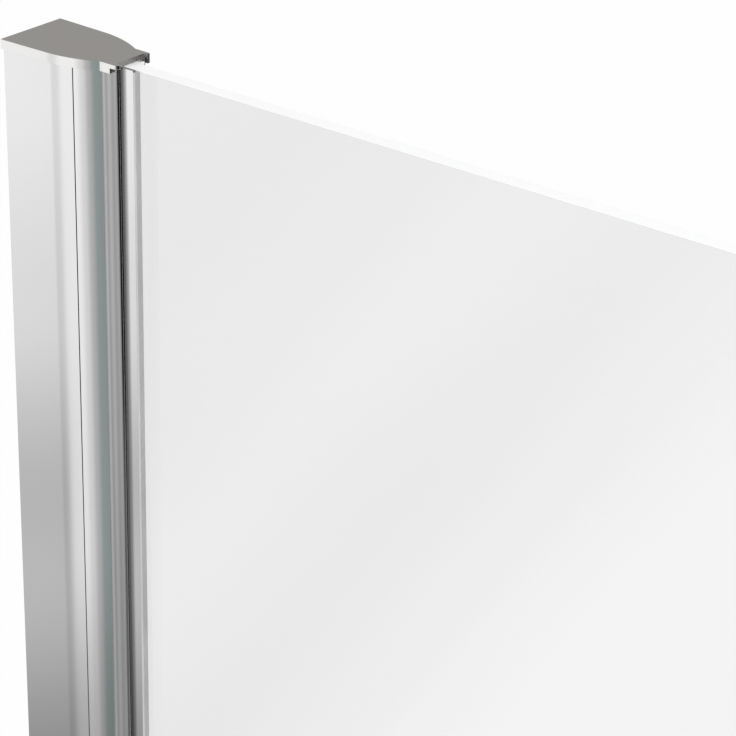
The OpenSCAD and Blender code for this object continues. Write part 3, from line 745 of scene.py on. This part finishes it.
cutters = [pushed_bar("cutter", glass_slot, low.x - CUT_PAST, high.x + CUT_PAST, along="X"),
           round_hole("Y", (bar_x, clamp_half, bar_z), SOCKET_RADIUS, high.y, sides=96),
           round_hole("Z", (bar_x, (clamp_half + high.y) / 2, bar_z - collar_radius - CUT_PAST),
                      BAR_SCREW_RADIUS, collar_radius)]
cutters += [round_hole("Y", (bar_x + side * CLAMP_SCREW_SIDE, low.y - CUT_PAST,
                             bar_z - CLAMP_SCREW_DROP),
                       CLAMP_SCREW_RADIUS, liner_low.y - low.y + 2 * CUT_PAST)
            for side in (-1.0, 1.0)]
combine(clamp, cutters, "DIFFERENCE")
ease_edges(clamp, CLAMP_EASE, steps=3)
bar_chrome = chromed("bar_chrome", colour=(0.82, 0.83, 0.84), roughness=(0.04, 0.1))
dress(clamp, bar_chrome)
fit(clamp, "glass_clamp", "panel")
refinish("clamp_liner", black_rubber)
refinish("clamp_screws", stainless)
refinish("bar_screw", stainless)

# The support bar is a chromed tube, 16 mm thick, that runs from the clamp across the shower to the
# next wall and keeps the free edge of the glass from moving.

BAR_WALL = 1.2
BAR_EASE = 0.3

bar_radius = (bar_high.x - bar_low.x) / 2
bar_outline = [(bar_radius - BAR_WALL, bar_low.y), (bar_radius, bar_low.y),
               (bar_radius, bar_high.y), (bar_radius - BAR_WALL, bar_high.y)]
bar = turned("chromed_support_bar", bar_outline, [(bar_x, bar_z)])
ease_edges(bar, BAR_EASE)
dress(bar, bar_chrome)
fit(bar, "support_bar", "panel")

# The wall flange is a turned plate with a socket for the bar. Three countersunk holes take its
# wall screws, and a set screw holds the bar.

FLANGE_THICK = 4.0
FLANGE_HOLES = 3
FLANGE_HOLE_CIRCLE = 21.0
FLANGE_HOLE_RADIUS = 2.25
SINK_RADIUS = 4.25
SINK_TIP = 2.15
COLLAR_FILLET = 1.5
FLANGE_EASE = 0.3

low, high = (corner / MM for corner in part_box("wall_flange"))
flange_radius = (high.x - low.x) / 2
plate_front = high.y - FLANGE_THICK
flange_outline = [(0.0, plate_front), (SOCKET_RADIUS, plate_front), (SOCKET_RADIUS, low.y),
                  (collar_radius, low.y)]
flange_outline += arc((collar_radius + COLLAR_FILLET, plate_front - COLLAR_FILLET), COLLAR_FILLET,
                      180.0, 90.0, steps=6)
flange_outline += [(flange_radius, plate_front), (flange_radius, high.y), (0.0, high.y)]
flange = turned("turned_wall_flange", flange_outline, [(bar_x, bar_z)])
hole_turns = [math.radians(360.0 * i / FLANGE_HOLES) for i in range(FLANGE_HOLES)]
hole_middles = [(bar_x + FLANGE_HOLE_CIRCLE * math.sin(turn),
                 bar_z + FLANGE_HOLE_CIRCLE * math.cos(turn)) for turn in hole_turns]
cutters = [round_hole("Y", (x, plate_front - CUT_PAST, z), FLANGE_HOLE_RADIUS,
                      FLANGE_THICK + 2 * CUT_PAST) for x, z in hole_middles]
sink_outline = [(0.0, plate_front - CUT_PAST), (SINK_RADIUS + CUT_PAST, plate_front - CUT_PAST),
                (SINK_TIP, plate_front + SINK_RADIUS - SINK_TIP),
                (0.0, plate_front + SINK_RADIUS - SINK_TIP)]
cutters.append(turned("cutter", sink_outline, hole_middles, sides=48))
cutters.append(round_hole("Z", (bar_x, (low.y + plate_front) / 2, bar_z - collar_radius - CUT_PAST),
                          BAR_SCREW_RADIUS, collar_radius))
combine(flange, cutters, "DIFFERENCE")
ease_edges(flange, FLANGE_EASE)
dress(flange, bar_chrome)
fit(flange, "wall_flange", "panel")
refinish("flange_screw", stainless)

# A spun and chromed cover slides along the bar and hides the flange and its screws. Its rim stands
# just clear of the wall, and its front turns in to a round hole for the bar.

SHELL_WALL = 1.2
SHELL_ROUND = 2.5
SHELL_HOLE_RADIUS = 8.35
SHELL_EASE = 0.25

low, high = (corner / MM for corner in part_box("flange_cover"))
shell_radius = (high.x - low.x) / 2
rim_centre = (shell_radius - SHELL_ROUND, low.y + SHELL_ROUND)
shell_outline = [(SHELL_HOLE_RADIUS, low.y)]
shell_outline += arc(rim_centre, SHELL_ROUND, -90.0, 0.0, steps=8)
shell_outline += [(shell_radius, high.y), (shell_radius - SHELL_WALL, high.y)]
shell_outline += arc(rim_centre, SHELL_ROUND - SHELL_WALL, 0.0, -90.0, steps=8)
shell_outline += [(SHELL_HOLE_RADIUS, low.y + SHELL_WALL)]
shell = turned("chromed_flange_cover", shell_outline, [(bar_x, bar_z)])
ease_edges(shell, SHELL_EASE)
dress(shell, bar_chrome)
fit(shell, "flange_cover", "cover")

# The studio is a plain pale floor in soft light from all round, as for a catalogue photograph. What
# the camera sees past the screen is white. The polished faces mirror a room that is bright on the
# camera's left, dark on its right and grey above, and the panes mirror a soft panel low in front.

FLOOR_RADIUS = 9.0
FLOOR_WHITE = 0.95
SOFT_LIGHT = 0.8
ROOM_BY_BEARING = (
    (-180.0, 0.2), (-150.0, 0.17), (-125.0, 0.2), (-100.0, 0.6), (-80.0, 0.75), (-42.0, 0.91),
    (-37.5, 0.76), (-34.0, 0.76), (-26.0, 0.92), (-12.0, 0.92), (-4.0, 0.7), (2.0, 0.46),
    (8.0, (0.28, 0.32, 0.315)), (14.0, (0.26, 0.30, 0.295)), (26.0, 0.09), (40.0, 0.012),
    (120.0, 0.012), (138.0, 0.08), (165.0, 0.2), (180.0, 0.2))
LEFT_FALL_BY_RISE = ((-60.0, 0.4), (-36.0, 0.6), (-32.8, 0.72), (-28.7, 0.56), (-24.6, 0.85),
                     (-20.0, 1.0), (0.0, 1.0))
LEFT_REACH_BY_BEARING = ((-180.0, 1.0), (-38.0, 1.0), (-20.0, 0.38), (-6.0, 0.12), (6.0, 0.0),
                         (180.0, 0.0))
FLOOR_FALL_BY_RISE = ((-60.0, 0.35), (-34.0, 0.5), (-29.5, 1.0), (0.0, 1.0))
FLOOR_REACH_BY_BEARING = ((-180.0, 1.0), (-14.0, 1.0), (0.0, 0.65), (180.0, 0.65))
RIGHT_FLOOR_TONE = (0.13, 0.13, 0.125)
RIGHT_FLOOR_BY_RISE = ((-60.0, 1.0), (-32.0, 1.0), (-29.0, 0.8), (-25.5, 0.0), (0.0, 0.0))
RIGHT_FLOOR_BY_BEARING = ((-180.0, 0.0), (15.0, 0.0), (35.0, 1.0), (130.0, 1.0), (150.0, 0.0),
                          (180.0, 0.0))
CEILING_START_BY_RISE = ((8.0, 0.0), (17.0, 1.0), (90.0, 1.0))
CEILING_BY_RISE = ((10.0, (0.31, 0.30, 0.29)), (24.0, (0.31, 0.30, 0.29)), (38.0, 0.17),
                   (90.0, 0.2))
SOFT_PANEL_BY_SLANT = (
    (-24.0, 0.5), (-12.0, 0.6), (-6.0, 2.1), (0.0, 2.15), (2.0, 1.8), (4.0, 1.15), (7.5, 0.53),
    (11.5, 0.96), (15.0, 0.42), (18.5, 0.1), (22.0, 0.16), (34.0, 0.5))
KEY_PLACE = (2.2, -2.6, 4.2)
KEY_AIM = (0.4, 0.0, 1.0)
CAMERA_PLACE = (0.6703, -0.6731, 2.2760)
CAMERA_RIGHT = (0.7887, 0.6144, 0.0236)
CAMERA_DOWN = (0.2859, -0.3325, -0.8987)
CAMERA_AHEAD = (-0.5443, 0.7155, -0.4378)

floor_shape = bmesh.new()
bmesh.ops.create_circle(floor_shape, cap_ends=True, segments=96, radius=FLOOR_RADIUS)
floor = as_piece("studio_floor", floor_shape)
pale_floor, nodes, links, shader = new_finish("pale_floor")
shader.inputs["Base Color"].default_value = (0.95, 0.95, 0.95, 1.0)
shader.inputs["Roughness"].default_value = 0.9
shader.inputs["Specular IOR Level"].default_value = 0.0


def sum_up(operation, first, second=None):
    """Math node on links or plain numbers, in the tree being made."""
    step = nodes.new("ShaderNodeMath")
    step.operation = operation
    for socket, value in zip(step.inputs, (first, second)):
        if isinstance(value, float):
            socket.default_value = value
        elif value is not None:
            links.new(value, socket)
    return step.outputs["Value"]


def mix_of(share, first, second):
    """Mixes two shaders by a share, in the tree being made."""
    mix = nodes.new("ShaderNodeMixShader")
    links.new(share, mix.inputs["Fac"])
    links.new(first, mix.inputs[1])
    links.new(second, mix.inputs[2])
    return mix.outputs["Shader"]


def ray_kinds():
    """Whether the camera sees it, a shiny face mirrors it, or a pane mirrors it, as 0 or 1."""
    rays = nodes.new("ShaderNodeLightPath")
    seen = sum_up("MAXIMUM", rays.outputs["Is Camera Ray"], rays.outputs["Is Transmission Ray"])
    mirrored = sum_up("GREATER_THAN", rays.outputs["Glossy Depth"], 0.5)
    seen = sum_up("MULTIPLY", seen, sum_up("SUBTRACT", 1.0, mirrored))
    in_pane = sum_up("MULTIPLY", rays.outputs["Is Singular Ray"],
                     sum_up("SUBTRACT", 1.0, rays.outputs["Is Transmission Ray"]))
    return seen, mirrored, in_pane


seen, mirrored, in_pane = ray_kinds()
white = nodes.new("ShaderNodeEmission").outputs["Emission"]
clear = nodes.new("ShaderNodeBsdfTransparent").outputs["BSDF"]
floor_look = mix_of(sum_up("MULTIPLY", seen, FLOOR_WHITE), shader.outputs["BSDF"], white)
links.new(mix_of(mirrored, floor_look, clear), nodes["Material Output"].inputs["Surface"])
floor.data.materials.append(pale_floor)

world = bpy.data.worlds.new("studio_room")
bpy.context.scene.world = world
world.use_nodes = True
nodes, links = world.node_tree.nodes, world.node_tree.links
nodes.clear()


def colour_mix(share, first, second, kind="MIX"):
    """Mixes or multiplies two colours."""
    mix = nodes.new("ShaderNodeMix")
    mix.data_type = "RGBA"
    mix.blend_type = kind
    for name, value in (("Factor", share), ("A", first), ("B", second)):
        if isinstance(value, tuple):
            mix.inputs[name].default_value = (*value, 1.0)
        elif isinstance(value, float):
            mix.inputs[name].default_value = value
        else:
            links.new(value, mix.inputs[name])
    return mix.outputs["Result"]


def light(colour, strength=1.0):
    """Light of the room in a plain colour, or in one that a link brings."""
    view = nodes.new("ShaderNodeBackground")
    view.inputs["Strength"].default_value = strength
    if isinstance(colour, tuple):
        view.inputs["Color"].default_value = (*colour, 1.0)
    else:
        links.new(colour, view.inputs["Color"])
    return view.outputs["Background"]


direction = nodes.new("ShaderNodeTexCoord")
split = nodes.new("ShaderNodeSeparateXYZ")
links.new(direction.outputs["Generated"], split.inputs["Vector"])
degrees = math.degrees(1.0)
in_front = sum_up("MULTIPLY", split.outputs["Y"], -1.0)
bearing = sum_up("MULTIPLY", sum_up("ARCTAN2", split.outputs["X"], in_front), degrees)
rise = sum_up("MULTIPLY", sum_up("ARCSINE", split.outputs["Z"]), degrees)
slant = sum_up("SUBTRACT", rise, bearing)


def by_bearing(stops):
    """Tones by the degrees round from straight in front of the near face to the free edge."""
    return ramp(nodes, links, bearing, stops)


def by_rise(stops):
    """Tones by the degrees above the horizon, or below it."""
    return ramp(nodes, links, rise, stops)


def left_over(fall, reach):
    """Share of the light that is left where it falls towards the floor, in the reach given."""
    lost = sum_up("SUBTRACT", 1.0, by_rise(fall))
    return sum_up("SUBTRACT", 1.0, sum_up("MULTIPLY", by_bearing(reach), lost))


shade = sum_up("MULTIPLY", left_over(LEFT_FALL_BY_RISE, LEFT_REACH_BY_BEARING),
               left_over(FLOOR_FALL_BY_RISE, FLOOR_REACH_BY_BEARING))
side_room = colour_mix(1.0, by_bearing(ROOM_BY_BEARING), shade, "MULTIPLY")
right_floor = sum_up("MULTIPLY", by_bearing(RIGHT_FLOOR_BY_BEARING), by_rise(RIGHT_FLOOR_BY_RISE))
lower_room = colour_mix(right_floor, side_room, RIGHT_FLOOR_TONE)
metal_room = colour_mix(by_rise(CEILING_START_BY_RISE), lower_room, by_rise(CEILING_BY_RISE))
pane_room = ramp(nodes, links, slant, SOFT_PANEL_BY_SLANT)
seen, mirrored, in_pane = ray_kinds()
mirror_view = mix_of(in_pane, light(metal_room), light(pane_room))
room_light = mix_of(mirrored, light((1.0, 1.0, 1.0), SOFT_LIGHT), mirror_view)
backdrop = light((1.0, 1.0, 1.0))
output = nodes.new("ShaderNodeOutputWorld")
links.new(mix_of(seen, room_light, backdrop), output.inputs["Surface"])

key_data = bpy.data.lights.new("key_softbox", "AREA")
key_data.shape = "DISK"
key_data.size = 2.5
key_data.energy = 90.0
key = bpy.data.objects.new("key_softbox", key_data)
key.location = KEY_PLACE
key.rotation_euler = (Vector(KEY_AIM) - Vector(KEY_PLACE)).to_track_quat("-Z", "Y").to_euler()
key.visible_glossy = False
bpy.context.scene.collection.objects.link(key)

camera_data = bpy.data.cameras.new("camera")
camera_data.sensor_width = 36.0
camera_data.lens = 132.95
camera_data.shift_y = -0.0041
camera_data.clip_start = 0.05
camera_data.clip_end = 60.0
camera = bpy.data.objects.new("camera", camera_data)
turn = Matrix((CAMERA_RIGHT, -Vector(CAMERA_DOWN), -Vector(CAMERA_AHEAD))).transposed().to_4x4()
camera.matrix_world = Matrix.Translation(CAMERA_PLACE) @ turn
bpy.context.scene.collection.objects.link(camera)
bpy.context.scene.camera = camera
bpy.context.scene.view_settings.view_transform = "Standard"
